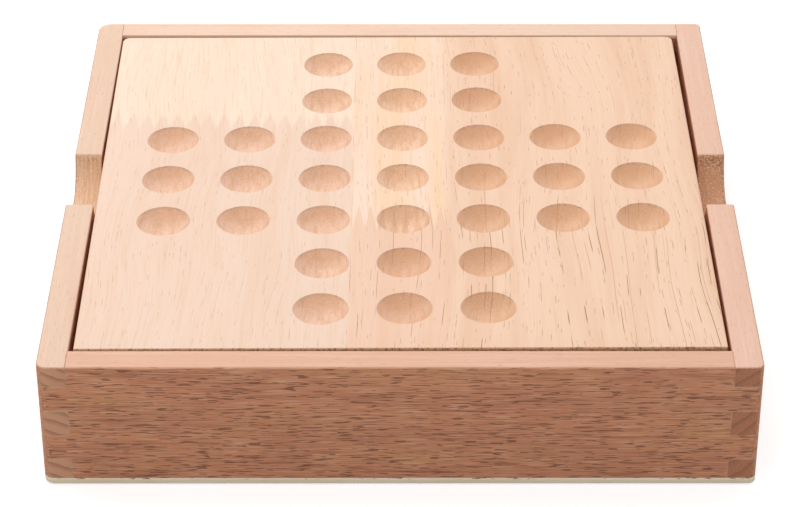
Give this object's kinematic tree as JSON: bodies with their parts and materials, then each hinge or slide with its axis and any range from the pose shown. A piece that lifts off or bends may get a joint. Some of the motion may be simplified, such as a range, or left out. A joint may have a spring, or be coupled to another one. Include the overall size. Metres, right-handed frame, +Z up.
{
  "type": "peg solitaire board",
  "caption": "square wooden solitaire game box with finger-jointed walls, a lift-out board with a cross of round hollows, and loose balls kept under it",
  "frame": {"origin": "middle of the underside of the base panel", "axes": "+Z up, +Y from the front wall to the back wall, +X from the left wall to the right wall"},
  "size_m": [0.2, 0.2, 0.04],
  "materials": {
    "wall_wood": "sanded beech, unpolished",
    "base_wood": "sanded thin plywood",
    "ledge_wood": "sawn beech strip",
    "board_wood": "sanded rubberwood, finger-jointed staves",
    "ball_wood": "turned and sanded beech"
  },
  "bodies": {
    "box": {"left_wall": "wall_wood", "right_wall": "wall_wood", "front_wall": "wall_wood", "back_wall": "wall_wood", "base_panel": "base_wood", "front_ledge": "ledge_wood", "back_ledge": "ledge_wood", "left_ledge": "ledge_wood", "right_ledge": "ledge_wood"},
    "playing_board": {"playing_board": "board_wood"},
    "playing_balls": {"ball_01": "ball_wood", "ball_02": "ball_wood", "ball_03": "ball_wood", "ball_04": "ball_wood", "ball_05": "ball_wood", "ball_06": "ball_wood", "ball_07": "ball_wood", "ball_08": "ball_wood", "ball_09": "ball_wood", "ball_10": "ball_wood", "ball_11": "ball_wood", "ball_12": "ball_wood", "ball_13": "ball_wood", "ball_14": "ball_wood", "ball_15": "ball_wood", "ball_16": "ball_wood", "ball_17": "ball_wood", "ball_18": "ball_wood", "ball_19": "ball_wood", "ball_20": "ball_wood", "ball_21": "ball_wood", "ball_22": "ball_wood", "ball_23": "ball_wood", "ball_24": "ball_wood", "ball_25": "ball_wood", "ball_26": "ball_wood", "ball_27": "ball_wood", "ball_28": "ball_wood", "ball_29": "ball_wood", "ball_30": "ball_wood", "ball_31": "ball_wood", "ball_32": "ball_wood"}
  },
  "joints": [
    {"name": "board_lift", "type": "slide", "parent": "box", "child": "playing_board", "axis": [0, 0, 1], "range_m": [0, 0.06]},
    {"name": "balls_lift", "type": "slide", "parent": "box", "child": "playing_balls", "axis": [0, 0, 1], "range_m": [0, 0.011]}
  ]
}
